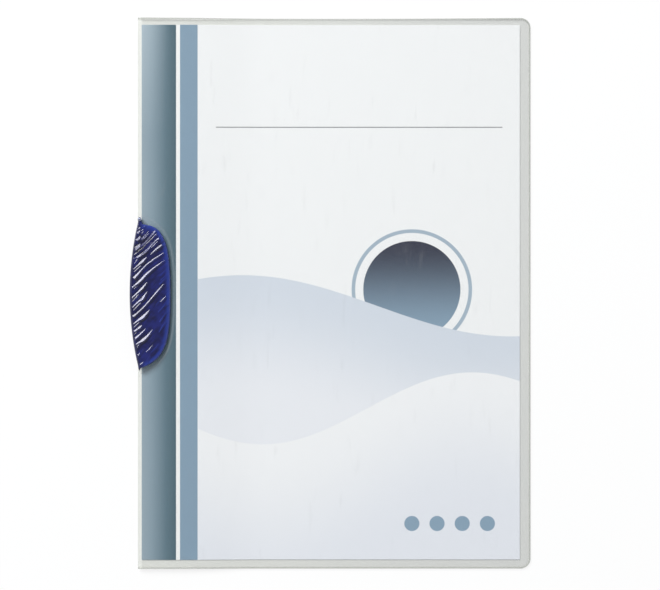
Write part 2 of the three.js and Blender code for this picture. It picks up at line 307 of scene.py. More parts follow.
@dataclass(frozen=True)
class PrintedCard:
    """Coated white card with a printed title page. Places on the page are in millimetres."""

    paper: Colour = (241, 242, 242)
    band: tuple[Colour, ...] = ((148, 165, 176), (131, 152, 164), (84, 112, 125), (62, 92, 104))
    band_stops: tuple[float, ...] = (0.0, 5.5, 13.6, 19.0)
    band_end: float = 19.05
    band_glow: Colour = (206, 220, 228)
    glow_rows: tuple[float, float] = (235.0, 310.0)
    glow_width: float = 16.0
    glow_share: float = 0.45
    line: Colour = (244, 244, 242)
    line_end: float = 21.25
    stripe: Colour = (129, 155, 175)
    stripe_end: float = 31.0
    rule: Colour = (96, 98, 98)
    rule_rows: tuple[float, float] = (240.0, 240.45)
    rule_columns: tuple[float, float] = (41.2, 200.3)
    far_light: Colour = (233, 235, 239)
    far_dark: Colour = (211, 218, 227)
    far_depth: float = 70.0
    near_light: Colour = (241, 242, 243)
    near_dark: Colour = (228, 231, 237)
    near_depth: float = 80.0
    accent: Colour = (30, 34, 58)
    accent_soft: Colour = (134, 160, 180)
    disc_centre: tuple[float, float] = (150.0, 150.0)
    disc_radius: float = 27.0
    ring_radii: tuple[float, float] = (31.5, 33.5)
    ring_share: float = 0.8
    dot_start: tuple[float, float] = (150.0, 20.0)
    dot_step: float = 14.0
    dot_count: int = 4
    dot_radius: float = 4.2
    soft: float = 0.12
    field_soft: float = 0.15
    grain: float = 0.02

    def material(self, low: Vector) -> bpy.types.Material:
        """Builds the print on object coordinates.

        Args:
            low: Lowest corner of the sheet.

        Returns:
            The material.
        """
        graph = Graph("printed_card", Roughness=0.45, Specular_IOR_Level=0.3)
        x, y, _ = graph.place()
        x = (x - low.x) / MM
        y = (y - low.y) / MM
        paper = linear(*self.paper)
        page = x.ramp(self.stripe_end, self.stripe_end + 0.2)
        colour = graph.blend(page, paper, self._fields(graph, x, y, paper))
        colour = self._marks(graph, x, y, colour)
        colour = self._band(graph, x, y, colour)
        grain = graph.noise(2400, 3).ramp(0.3, 0.7)
        graph.feed("Base Color", graph.blend(grain * self.grain, colour, linear(0, 0, 0)))
        graph.feed("Roughness", graph.noise(400, 2).ramp(0.3, 0.7, 0.4, 0.52))
        graph.bump(graph.noise(1500, 3), 0.12, 0.02 * MM)
        return graph.material

    def _between(self, value: Term, low: float, high: float, soft: float | None = None) -> Term:
        """1 between two values, with soft edges."""
        soft = soft or self.soft
        return value.ramp(low - soft, low + soft) * value.ramp(high - soft, high + soft, 1.0, 0.0)

    def _inside(self, x: Term, y: Term, centre: Sequence[float], radius: float) -> Term:
        """1 inside a circle on the sheet."""
        away_x = x - centre[0]
        away_y = y - centre[1]
        away = (away_x * away_x + away_y * away_y).root()
        return away.ramp(radius - self.soft, radius + self.soft, 1.0, 0.0)

    def _band(self, graph: Graph, x: Term, y: Term, colour: Term) -> Term:
        """Stripes along the spine: a shaded band, a white line and a plain stripe."""
        band = linear(*self.band[0])
        for i, tone in enumerate(self.band[1:]):
            share = graph.share(x, self.band_stops[i], self.band_stops[i + 1])
            band = graph.blend(share, band, linear(*tone))
        inwards = 1.0 - graph.share(x, 0.0, self.glow_width)
        glow = graph.share(y, *self.glow_rows) * inwards * self.glow_share
        band = graph.blend(glow, band, linear(*self.band_glow))
        colour = graph.blend(self._between(x, self.band_end, self.line_end), colour, linear(*self.line))
        colour = graph.blend(self._between(x, -5.0, self.band_end), colour, band)
        stripe = self._between(x, self.line_end, self.stripe_end)
        return graph.blend(stripe, colour, linear(*self.stripe))

    def _field(
        self, graph: Graph, y: Term, edge: Term, tones: Sequence[Colour], depth: float, under: object
    ) -> Term:
        """Lays one field over what is under it.

        Args:
            graph: The material's nodes.
            y: Place up the page.
            edge: The field's upper edge.
            tones: Its colours at the edge and further down.
            depth: How far down the second colour is reached.
            under: Colour of the page above the field.

        Returns:
            The colour with the field.
        """
        below = edge - y
        tone = graph.blend(below.ramp(0.0, depth), linear(*tones[0]), linear(*tones[1]))
        return graph.blend(below.ramp(-self.field_soft, self.field_soft), under, tone)

    def _fields(self, graph: Graph, x: Term, y: Term, paper: object) -> Term:
        """Two pale rolling fields over the lower page, with a dark disc setting behind them."""
        soft = linear(*self.accent_soft)
        low = self.disc_centre[1] - self.disc_radius
        tone = graph.blend((y - low).ramp(0.0, 2 * self.disc_radius), soft, linear(*self.accent))
        disc = self._inside(x, y, self.disc_centre, self.disc_radius)
        colour = graph.blend(disc, paper, tone)
        inner, outer = (self._inside(x, y, self.disc_centre, radius) for radius in self.ring_radii)
        colour = graph.blend(outer * (1.0 - inner) * self.ring_share, colour, soft)
        far_edge = (x * 0.021 + 0.4).sine() * 17.0 + 141.0
        near_edge = (x * 0.027 + 2.9).sine() * 20.0 + 84.0
        colour = self._field(graph, y, far_edge, (self.far_dark, self.far_light), self.far_depth, colour)
        return self._field(graph, y, near_edge, (self.near_light, self.near_dark), self.near_depth, colour)

    def _marks(self, graph: Graph, x: Term, y: Term, colour: Term) -> Term:
        """A thin rule across the head of the page, and a row of small discs at its foot."""
        rule = self._between(y, *self.rule_rows, soft=0.08) * self._between(x, *self.rule_columns)
        colour = graph.blend(rule, colour, linear(*self.rule))
        start_x, start_y = self.dot_start
        dots = self._inside(x, y, self.dot_start, self.dot_radius)
        for step in range(1, self.dot_count):
            dots = dots.most(self._inside(x, y, (start_x + self.dot_step * step, start_y), self.dot_radius))
        return graph.blend(dots, colour, linear(*self.accent_soft))


@dataclass(frozen=True)
class CutEdge:
    """The cut border of a film, where light leaves it."""

    width: float = 0.75 * MM
    soft: float = 0.3 * MM
    corner: float = 5.5 * MM

    def share(self, x: Term, y: Term, high: Vector) -> Term:
        """1 along the top, right and bottom borders, and round their corners.

        Args:
            x: Place along X.
            y: Place along Y.
            high: Highest corner of the film, in metres.

        Returns:
            The share.
        """
        beside = x - (high.x - self.corner)
        above = abs(y) - (high.y - self.corner)
        round_x, round_y = beside.most(0.0), above.most(0.0)
        away = (round_x * round_x + round_y * round_y).root() + beside.most(above).least(0.0)
        return away.ramp(self.corner - self.width - self.soft, self.corner - self.width)


@dataclass(frozen=True)
class ClearFilm:
    """Clear rigid film: faint haze, fine scuffs and a gloss that grows towards grazing views."""

    haze: float = 0.012
    scuff_haze: float = 0.02
    seat_highlight_haze: float = 0.06
    edge_haze: float = 0.3
    gloss: float = 0.025
    grazing_gloss: float = 0.6
    tone: Colour = (240, 243, 243)
    edge_tone: Colour = (196, 198, 190)

    def material(self, high: Vector) -> bpy.types.Material:
        """Builds the film, whiter where it is bent round the seat as a painted highlight along the seat's
        bevel, and greyer at its cut edge.

        Args:
            high: Highest corner of the film.

        Returns:
            The material.
        """
        graph = Graph("clear_film", Roughness=0.2, IOR=1.5)
        x, y, _ = graph.place()
        edge = CutEdge().share(x, y, high)
        graph.feed("Base Color", graph.blend(edge, linear(*self.tone), linear(*self.edge_tone)))
        scuff = graph.noise(260, 4, (1.0, 0.25, 1.0)).ramp(0.58, 0.8)
        # More haze where the film bends round the seat: a painted highlight along the seat's bevel.
        bend = graph.attribute("bend") * self.seat_highlight_haze
        graph.feed("Alpha", scuff * self.scuff_haze + edge * self.edge_haze + bend + self.haze)
        swell = graph.noise(14, 1.5)
        normal = graph.bumped(swell, 0.3, 0.6 * MM)
        graph.feed("Normal", normal)
        shine_inputs = {"Roughness": scuff * 0.12 + 0.08, "Normal": normal}
        shine = graph.node("ShaderNodeBsdfAnisotropic", {}, shine_inputs)
        grazing = graph.node("ShaderNodeLayerWeight", {}, {"Normal": normal}, output="Facing").power(5.0)
        body = Term(graph, graph.shader.outputs["BSDF"])
        share = grazing * self.grazing_gloss + self.gloss
        mixed = graph.node("ShaderNodeMixShader", {}, {0: share, 1: body, 2: shine})
        graph.plug(graph.output.inputs["Surface"], mixed)
        return graph.material


@dataclass(frozen=True)
class FrostedFilm:
    """Translucent film with a fine frosted grain."""

    # Tones of a painted shade across the film: lighter at the spine and darker at the open side.
    light: Colour = (229, 230, 224)
    dark: Colour = (219, 220, 217)
    weld_tone: Colour = (240, 241, 235)
    edge_tone: Colour = (196, 197, 194)
    edge_share: float = 0.7
    weld_end: tuple[float, float] = (1.8 * MM, 2.6 * MM)
    cover: float = 0.86

    def material(self, low: Vector, high: Vector) -> bpy.types.Material:
        """Builds the film, paler in the weld along the spine, darker at its cut edge, and darker towards the
        open side as painted shade.

        Args:
            low: Lowest corner of the film.
            high: Highest corner of the film.

        Returns:
            The material.
        """
        graph = Graph("frosted_film", IOR=1.5)
        x, y, _ = graph.place()
        cloud = graph.noise(30, 3).ramp(0.3, 0.7)
        weld = x.ramp(low.x + self.weld_end[0], low.x + self.weld_end[1], 1.0, 0.0)
        # Darker towards the open side, as painted shade, with a little random cloud.
        across = x.ramp(low.x, high.x) * 0.85 + cloud * 0.15
        tone = graph.blend(across, linear(*self.light), linear(*self.dark))
        edge = CutEdge().share(x, y, high) * self.edge_share
        tone = graph.blend(edge, tone, linear(*self.edge_tone))
        graph.feed("Base Color", graph.blend(weld, tone, linear(*self.weld_tone)))
        graph.feed("Alpha", cloud * 0.03 + self.cover)
        graph.feed("Roughness", graph.noise(900, 2).ramp(0.3, 0.7, 0.42, 0.58))
        graph.bump(graph.noise(3200, 2), 0.25, 0.02 * MM)
        return graph.material


@dataclass(frozen=True)
class ClipPlastic:
    """Glossy dark blue moulded plastic, with a brighter blue painted highlight at its thin edge and painted
    shade behind its folds.
    """

    # Darker blue, mixed with the body colour at random.
    deep: Colour = (16, 19, 76)
    body: Colour = (25, 32, 106)
    # Brighter blue of the painted highlight along the edge over the page and on faint fold crests.
    rim: Colour = (36, 58, 148)
    # Colour of the painted shade behind folds, along the outer band and at the lower tip.
    shade: Colour = (9, 10, 44)
    painted_light_share: float = 0.85

    def material(self) -> bpy.types.Material:
        """The material."""
        graph = Graph("clip_plastic", IOR=1.52)
        cloud = graph.noise(160, 2).ramp(0.35, 0.65)
        tone = graph.blend(cloud, linear(*self.deep), linear(*self.body))
        # Painted highlight: a brighter blue along the edge over the page and on faint fold crests.
        tone = graph.blend(graph.attribute("rim") * self.painted_light_share, tone, linear(*self.rim))
        # Painted shade: near black behind folds, along the outer band and at the lower tip.
        tone = graph.blend(graph.attribute("deep") * self.painted_light_share, tone, linear(*self.shade))
        graph.feed("Base Color", tone)
        graph.feed("Roughness", graph.noise(700, 3).ramp(0.3, 0.7, 0.13, 0.2))
        graph.bump(graph.noise(1100, 3), 0.1, 0.05 * MM)
        return graph.material


@dataclass(frozen=True)
class RivetMetal:
    """Small bright rivet."""

    tone: Colour = (150, 156, 180)

    def material(self) -> bpy.types.Material:
        """The material."""
        graph = Graph("rivet_metal", Base_Color=linear(*self.tone), Metallic=0.9)
        graph.feed("Roughness", graph.noise(5000, 2).ramp(0.3, 0.7, 0.24, 0.38))
        return graph.material


def deselect() -> None:
    """Nothing is selected and nothing is in edit mode."""
    if bpy.context.mode != "OBJECT":
        bpy.ops.object.mode_set(mode="OBJECT")
    bpy.ops.object.select_all(action="DESELECT")


def activate(piece: bpy.types.Object) -> None:
    """Selects one object and makes it the active one."""
    deselect()
    piece.select_set(True)
    bpy.context.view_layer.objects.active = piece


def modify(piece: bpy.types.Object, kind: str, **settings: object) -> None:
    """Adds one modifier and applies it.

    Args:
        piece: The object.
        kind: The modifier's type.
        settings: Its attributes.
    """
    activate(piece)
    modifier = piece.modifiers.new(kind.lower(), kind)
    for name, value in settings.items():
        setattr(modifier, name, value)
    bpy.ops.object.modifier_apply(modifier=modifier.name)


def shade(piece: bpy.types.Object, shading: Shading, angle_deg: float = 35.0) -> None:
    """Sets how the faces meet in the light."""
    activate(piece)
    if shading is Shading.SMOOTH:
        bpy.ops.object.shade_smooth()
    else:
        bpy.ops.object.shade_smooth_by_angle(angle=math.radians(angle_deg))


def places_of(piece: bpy.types.Object) -> np.ndarray:
    """Places of a mesh's vertices, one per row."""
    places = np.empty(len(piece.data.vertices) * 3)
    piece.data.vertices.foreach_get("co", places)
    return places.reshape(-1, 3)


def span(piece: bpy.types.Object, name: str, low: Vector, high: Vector) -> None:
    """Names a flat unit sheet and stretches it over a box's plan, with its place in its mesh.

    Args:
        piece: The sheet.
        name: Its name.
        low: Lowest corner of the box.
        high: Highest corner of the box.
    """
    piece.name = name
    centre = (low + high) / 2
    piece.location = (centre.x, centre.y, 0.0)
    piece.scale = (high.x - low.x, high.y - low.y, 1.0)
    bpy.ops.object.transform_apply(location=True, rotation=True, scale=True)


def reshape(piece: bpy.types.Object, move: Callable[[np.ndarray], np.ndarray]) -> None:
    """Moves all the vertices of a mesh by one rule.

    Args:
        piece: The object, at the origin.
        move: Turns an array of places into an array of new places.
    """
    piece.data.vertices.foreach_set("co", move(places_of(piece)).ravel())
    piece.data.update()


def store(piece: bpy.types.Object, name: str, values: np.ndarray) -> None:
    """Stores one value per vertex, for a material to read."""
    attribute = piece.data.attributes.new(name, "FLOAT", "POINT")
    attribute.data.foreach_set("value", values)


def smoothstep(value: np.ndarray) -> np.ndarray:
    """Smooth step of values from 0 to 1."""
    t = np.clip(value, 0.0, 1.0)
    return t * t * (3.0 - 2.0 * t)


def spread(low: float, high: float, step: float) -> list[float]:
    """Even stations from low up to, and not including, high."""
    count = max(1, round((high - low) / step))
    return [low + (high - low) * i / count for i in range(count)]


@dataclass
class Drape:
    """Heights of the layers, taken from the frame: raised at the clip, flat on the table beyond it."""

    bend_x: float
    settle: float = 44 * MM
    lift: float = 1.4 * MM

    @property
    def end_x(self) -> float:
        """X from which the layers lie flat."""
        return self.bend_x + self.settle

    def settled(self, x: np.ndarray) -> np.ndarray:
        """0 at the clip and 1 where the layers lie flat."""
        return smoothstep((x - self.bend_x) / self.settle)

    def height(self, x: np.ndarray) -> np.ndarray:
        """How far the layers are lifted off the table."""
        return self.lift * (1.0 - self.settled(x))


@dataclass
class Wing:
    """Plan and crumpled top of the clip's wing."""

    spine_x: float
    middle_y: float = -0.5 * MM
    length: float = 85.2 * MM
    reach: float = 18.2 * MM
    straight: float = 5.0 * MM
    end_slope_deg: float = 20.0
    end_handle: float = 15.0 * MM
    side_handle: float = 26.0 * MM
    arc_radius: float = 182.0 * MM
    bulge: float = 4.6 * MM
    setback: float = 0.3 * MM
    end_width: float = 0.5 * MM
    end_rounding: float = 1.0 * MM
    top_at_reach: float = 4.05 * MM
    rise: float = 0.155
    rise_loss_at_ends: float = 0.45

    def _spine_side(self, y: np.ndarray) -> np.ndarray:
        """X of the arc along the spine."""
        radius = self.arc_radius - self.setback
        centre = self.spine_x - self.bulge + self.arc_radius
        return centre - np.sqrt(radius**2 - (y - self.middle_y) ** 2)

    def _open_side(self) -> np.ndarray:
        """Points of the edge towards the page, from the lower end to the upper one."""
        half = self.length / 2 - self.end_rounding
        slope = math.radians(self.end_slope_deg)
        end_x = float(self._spine_side(np.array(self.middle_y + half))) + self.end_width
        side_x = self.spine_x + self.reach
        corners = [
            (end_x, half),
            (end_x + self.end_handle * math.cos(slope), half - self.end_handle * math.sin(slope)),
            (side_x, self.straight / 2 + self.side_handle),
            (side_x, self.straight / 2),
        ]
        t = np.linspace(0.0, 1.0, 40)[:, None]
        a, b, c, d = (np.array(corner) for corner in corners)
        upper = a * (1 - t) ** 3 + 3 * b * t * (1 - t) ** 2 + 3 * c * t**2 * (1 - t) + d * t**3
        lower = upper * (1, -1)
        return np.concatenate([lower, upper[::-1]]) + (0, self.middle_y)

    def inset(self, x: np.ndarray, y: np.ndarray) -> np.ndarray:
        """How far inside the plan's edge a place lies, and below zero outside it.

        Args:
            x: Places along the frame's X.
            y: Places along the frame's Y.

        Returns:
            Distances in metres.
        """
        side = self._open_side()
        arc_y = np.linspace(side[0, 1], side[-1, 1], 60)
        arc = np.stack([self._spine_side(arc_y), arc_y], axis=1)
        ring = np.concatenate([side, arc[::-1]])
        nearest = np.full(x.shape, np.inf)
        for start, end in zip(ring, np.roll(ring, -1, axis=0)):
            run = end - start
            along = (x - start[0]) * run[0] + (y - start[1]) * run[1]
            share = np.clip(along / max(float(run @ run), 1e-18), 0.0, 1.0)
            away = np.hypot(x - start[0] - share * run[0], y - start[1] - share * run[1])
            nearest = np.minimum(nearest, away)
        between = (x > self._spine_side(y)) & (x < np.interp(y, side[:, 1], side[:, 0]))
        inside = between & (y > side[0, 1]) & (y < side[-1, 1])
        return np.where(inside, nearest, -nearest)

    def roof(self, x: np.ndarray, y: np.ndarray) -> np.ndarray:
        """Height of the wing's top without its relief."""
        end = (y - self.middle_y) / (self.length / 2)
        rise = self.rise * (1.0 - self.rise_loss_at_ends * end**2)
        return self.top_at_reach + (self.spine_x + self.reach - x) * rise


@dataclass
class Seat:
    """D-shaped seat pressed into the front cover round the clip's wing."""

    wing: Wing
    margin: float = 1.1 * MM
    bevel: float = 1.6 * MM
    depth: float = 0.45 * MM

    def pressed(self, x: np.ndarray, y: np.ndarray) -> np.ndarray:
        """1 in the seat and 0 outside it, over its bevel."""
        return smoothstep((self.wing.inset(x, y) + self.margin + self.bevel) / self.bevel)


@dataclass
class Crumple:
    """Sharp folds across the wing: each has a long flank towards the upper left and a steep one behind it.

    A fold is a line of (x from the spine, y up the page, width of its flank), in millimetres.
    """

    wing: Wing
    slope: float = 0.6
    width_scale: float = 1.15
    faint_slope: float = 0.34
    fold_reach: float = 2.5
    least_height: float = 0.02
    # Crest height of a faint fold that gets the full painted highlight.
    crest_highlight_height: float = 0.12
    sunk: float = 0.3
    drop_share: float = 0.35
    drop_least: float = 0.2
    end_fade: float = 0.5
    seed: int = 11
    fine_count: int = 90
    fine_columns: tuple[float, float] = (-3.6, 13.0)
    fine_rows: tuple[float, float] = (-39.0, 37.0)
    fine_angles_deg: tuple[float, float] = (38.0, 60.0)
    fine_lengths: tuple[float, float] = (2.5, 9.0)
    fine_widths: tuple[float, float] = (0.35, 0.75)
    fine_bows: tuple[float, float] = (0.0, 0.4)
    # Reach and depth of the painted shade behind each fold.
    painted_shade_reach: float = 1.1 * MM
    painted_shade_depth: float = 0.22 * MM
    folds: tuple[Line, ...] = (
        ((0.29, 35.49, 0.68), (1.65, 36.34, 0.6), (3.18, 37.36, 0.34)),
        ((0.29, 33.28, 0.85), (1.31, 34.47, 0.77), (3.52, 36.17, 0.31)),
        ((-0.31, 29.36, 1.0), (1.48, 30.9, 1.1), (3.86, 33.11, 0.6), (6.07, 35.15, 0.34)),
        ((2.33, 30.72, 0.68), (4.54, 32.6, 0.6), (6.24, 33.96, 0.34)),
        (
            (-1.25, 24.46, 2.0), (1.65, 26.67, 1.2), (3.86, 28.51, 0.77), (6.24, 30.9, 0.68),
            (9.65, 34.3, 0.6),
        ),
        ((-1.59, 21.19, 0.43), (1.48, 23.92, 0.51), (5.22, 28.34, 0.48), (10.33, 32.6, 0.43)),
        (
            (-1.76, 19.32, 0.43), (0.8, 20.17, 1.02), (4.54, 23.23, 1.02), (6.58, 25.45, 0.54),
            (9.14, 28.34, 0.54), (11.86, 30.3, 0.77),
        ),
        ((6.58, 24.43, 0.26), (8.97, 26.47, 0.43), (10.67, 28.34, 0.48), (12.03, 29.53, 0.34)),
        ((7.27, 21.53, 0.34), (10.16, 24.26, 0.85), (12.03, 25.62, 0.85), (13.39, 26.64, 0.6)),
        (
            (-1.76, 8.31, 1.28), (-0.06, 10.18, 1.02), (1.99, 12.56, 0.72), (4.54, 15.29, 0.51),
            (7.78, 18.01, 0.6), (10.5, 19.8, 0.6), (14.42, 22.35, 0.37),
        ),
        ((-1.59, 16.31, 0.31), (0.12, 18.69, 0.48), (0.63, 19.71, 0.51)),
        (
            (-1.76, 13.41, 0.43), (0.8, 15.8, 0.68), (2.84, 17.59, 1.36), (4.03, 18.86, 0.77),
            (5.22, 20.05, 0.31),
        ),
        ((-1.67, 11.8, 0.37), (1.14, 14.44, 0.48), (2.16, 15.46, 0.37)),
        (
            (-3.46, 2.6, 0.6), (-1.76, 4.05, 0.6), (1.14, 6.26, 1.16), (4.54, 10.18, 1.02),
            (7.1, 12.39, 0.77), (9.31, 14.27, 0.6), (12.54, 16.56, 0.54), (14.93, 18.18, 0.31),
        ),
        ((-1.59, 2.35, 0.37), (-0.06, 4.22, 0.41), (0.63, 5.24, 0.41)),
        (
            (-3.46, -3.1, 0.68), (-1.42, -1.23, 0.6), (0.97, 0.99, 0.85), (2.84, 2.86, 1.06),
            (4.88, 5.41, 0.54), (5.65, 6.26, 0.27),
        ),
        ((-2.78, -4.8, 0.37), (0.12, -1.4, 0.44), (1.99, 0.99, 0.34)),
        (
            (-2.44, -7.81, 0.6), (-1.08, -6.28, 0.6), (0.8, -4.58, 0.72), (2.84, -3.04, 1.45),
            (4.2, -1, 0.77), (5.56, 0.87, 0.34),
        ),
        ((-1.93, -9.34, 0.43), (0.29, -6.96, 0.51), (1.99, -5.26, 0.44)),
        (
            (-2.18, -12.75, 1.11), (-0.23, -11.22, 0.77), (1.65, -9.51, 0.65), (4.54, -6.62, 0.65),
            (7.1, -3.55, 0.65), (10.67, 0.7, 0.68), (12.88, 3.37, 0.6), (14.76, 5.42, 0.27),
        ),
        ((12.71, -4.92, 0.37), (14.42, -2.87, 0.61), (15.61, -1.6, 0.27)),
        (
            (-2.44, -17.34, 0.37), (-1.25, -16.32, 0.6), (1.48, -14.28, 1.11), (2.84, -13.43, 1.45),
            (4.54, -11.73, 1.06), (6.75, -9.17, 0.31),
        ),
        ((-2.18, -19.22, 0.43), (-0.06, -17.17, 0.48), (1.48, -15.64, 0.51)),
        (
            (-2.27, -21.43, 0.77), (-0.23, -20.07, 0.85), (1.48, -18.71, 1.06), (2.58, -17.68, 0.34),
        ),
        ((-1.59, -22.88, 0.31), (-0.23, -21.43, 0.34)),
        (
            (-1.59, -25.35, 1.11), (1.14, -23.13, 0.77), (3.69, -20.58, 0.61), (4.71, -19.39, 0.24),
        ),
        (
            (-1.42, -28.81, 0.54), (1.14, -27.11, 0.68), (2.84, -26.09, 1.36), (5.39, -23.87, 1.06),
            (6.58, -22.42, 0.77), (8.46, -20.13, 0.31),
        ),
        ((-0.57, -30.43, 0.6), (0.8, -28.47, 0.54), (2.33, -27.11, 0.51)),
        ((4.88, -32.55, 0.37), (7.1, -30.34, 0.44), (8.8, -28.13, 0.24)),
        ((0.2, -34.43, 0.77), (1.65, -32.89, 0.24)),
        ((0.46, -40.22, 0.51), (1.65, -39.36, 0.61), (3.18, -38.17, 0.37)),
    )
    faint_folds: tuple[Line, ...] = (
        ((12.71, 17.28, 0.31), (13.73, 17.96, 0.48), (15.44, 19.15, 0.27)),
        ((12.37, 10.01, 0.51), (14.76, 12.39, 0.34)),
        ((12.88, 7.46, 0.51), (15.95, 10.35, 0.34)),
        ((12.03, 5.24, 0.68), (15.61, 8.65, 0.34)),
        ((10.16, -6.11, 0.34), (12.71, -3.55, 0.51), (13.56, -2.36, 0.34)),
        ((11.35, -10.19, 0.51), (14.42, -6.79, 0.51), (15.78, -4.92, 0.34)),
        ((12.03, -15.64, 0.68), (14.07, -12.58, 0.68), (15.78, -10.19, 0.34)),
        ((11.69, -21.43, 0.51), (13.05, -18.88, 0.68), (15.44, -15.47, 0.43)),
        ((7.61, -32.38, 0.43), (9.65, -30.34, 0.51), (11.35, -28.13, 0.34)),
    )

    def _rounded(self, line: Line) -> np.ndarray:
        """Points of a fold's line with its corners cut twice, as (x, y, width) in millimetres."""
        points = np.array(line)
        for _ in range(2):
            first = points[:-1] * 0.75 + points[1:] * 0.25
            second = points[:-1] * 0.25 + points[1:] * 0.75
            between = np.stack([first, second], axis=1).reshape(-1, 3)
            points = np.concatenate([points[:1], between, points[-1:]])
        points[:, 2] *= self.width_scale
        return points

    def _fold(self, x: np.ndarray, y: np.ndarray, line: np.ndarray, slope: float) -> np.ndarray:
        """Height of one fold over the wing's top.

        Args:
            x: Places from the spine, in millimetres.
            y: Places up the page, in millimetres.
            line: Points of the fold's line, with its width at each.
            slope: Steepness of its flank.

        Returns:
            Heights in millimetres, below zero at the foot of the flank.
        """
        nearest = np.full(x.shape, np.inf)
        side = np.zeros(x.shape)
        width = np.zeros(x.shape)
        for (x0, y0, w0), (x1, y1, w1) in zip(line[:-1], line[1:]):
            run_x, run_y = x1 - x0, y1 - y0
            length = math.hypot(run_x, run_y)
            share = np.clip(((x - x0) * run_x + (y - y0) * run_y) / length**2, 0.0, 1.0)
            off_x, off_y = x - x0 - share * run_x, y - y0 - share * run_y
            away = np.hypot(off_x, off_y)
            closer = away < nearest
            nearest = np.where(closer, away, nearest)
            side = np.where(closer, (off_y * run_x - off_x * run_y) / length, side)
            width = np.where(closer, w0 + (w1 - w0) * share, width)
        beyond = np.sqrt(np.maximum(nearest**2 - side**2, 0.0))
        fade = np.clip(1.0 - beyond / self.end_fade, 0.0, 1.0)
        drop = self.drop_share * width + self.drop_least
        flank = slope * (width * (0.5 - self.sunk) - side)
        crest = slope * width * (1.0 - self.sunk)
        foot = slope * width * self.sunk
        behind = crest * np.clip(1.0 + (side + width / 2) / drop, 0.0, 1.0)
        before = -foot * np.clip(1.0 - (side - width / 2) / drop, 0.0, 1.0)
        height = np.where(side < -width / 2, behind, np.where(side > width / 2, before, flank))
        return height * fade

    def _envelope(
        self, x: np.ndarray, y: np.ndarray, lines: Sequence[Line], slope: float
    ) -> tuple[np.ndarray, np.ndarray]:
        """Highest and lowest of several folds at each place.

        Args:
            x: Places from the spine, in millimetres.
            y: Places up the page, in millimetres.
            lines: The folds.
            slope: Steepness of their flanks.

        Returns:
            The highest and the lowest heights, in millimetres.
        """
        highest = np.zeros(x.shape)
        lowest = np.zeros(x.shape)
        for line in lines:
            points = self._rounded(line)
            low = points[:, :2].min(axis=0) - self.fold_reach
            high = points[:, :2].max(axis=0) + self.fold_reach
            near = (x > low[0]) & (x < high[0]) & (y > low[1]) & (y < high[1])
            one = self._fold(x[near], y[near], points, slope)
            highest[near] = np.maximum(highest[near], one)
            lowest[near] = np.minimum(lowest[near], one)
        return highest, lowest

    def _fine_folds(self) -> list[Line]:
        """Small folds between the others, from a seeded draw.

        Returns:
            Lines of three points each.
        """
        draw = random.Random(self.seed)
        lines = []
        for _ in range(self.fine_count):
            x, y = draw.uniform(*self.fine_columns), draw.uniform(*self.fine_rows)
            angle = math.radians(draw.uniform(*self.fine_angles_deg))
            length, width = draw.uniform(*self.fine_lengths), draw.uniform(*self.fine_widths)
            bow = draw.uniform(*self.fine_bows)
            run_x, run_y = math.cos(angle) * length, math.sin(angle) * length
            middle = (x + run_x / 2 - bow * math.sin(angle), y + run_y / 2 + bow * math.cos(angle), width)
            lines.append(((x, y, width * 0.6), middle, (x + run_x, y + run_y, width * 0.4)))
        return lines

    def height(self, x: np.ndarray, y: np.ndarray) -> np.ndarray:
        """Height of all the folds together over the wing's top, in metres."""
        across, up = (x - self.wing.spine_x) / MM, y / MM
        highest, lowest = self._envelope(across, up, self.folds, self.slope)
        fainter = [*self.faint_folds, *self._fine_folds()]
        low = self._envelope(across, up, fainter, self.faint_slope)[0]
        sharp = np.where(highest > self.least_height, highest, lowest)
        return np.where(np.abs(sharp) > self.least_height, sharp, low) * MM

    def streaks(self, x: np.ndarray, y: np.ndarray) -> np.ndarray:
        """Painted highlight on faint folds: 1 on the crest of a faint fold, and 0 off the faint folds."""
        across, up = (x - self.wing.spine_x) / MM, y / MM
        crest = self._envelope(across, up, self.faint_folds, self.faint_slope)[0]
        return np.clip(crest / self.crest_highlight_height, 0.0, 1.0)

    def painted_fold_shade(self, x: np.ndarray, y: np.ndarray) -> np.ndarray:
        """Painted shade behind the fold at a place's upper left, which stands between it and the lamp, from 0
        to 1.
        """
        reach = self.painted_shade_reach
        higher = self.height(x - reach * 0.7, y + reach * 0.7) - self.height(x, y)
        return np.clip(higher / self.painted_shade_depth, 0.0, 1.0)


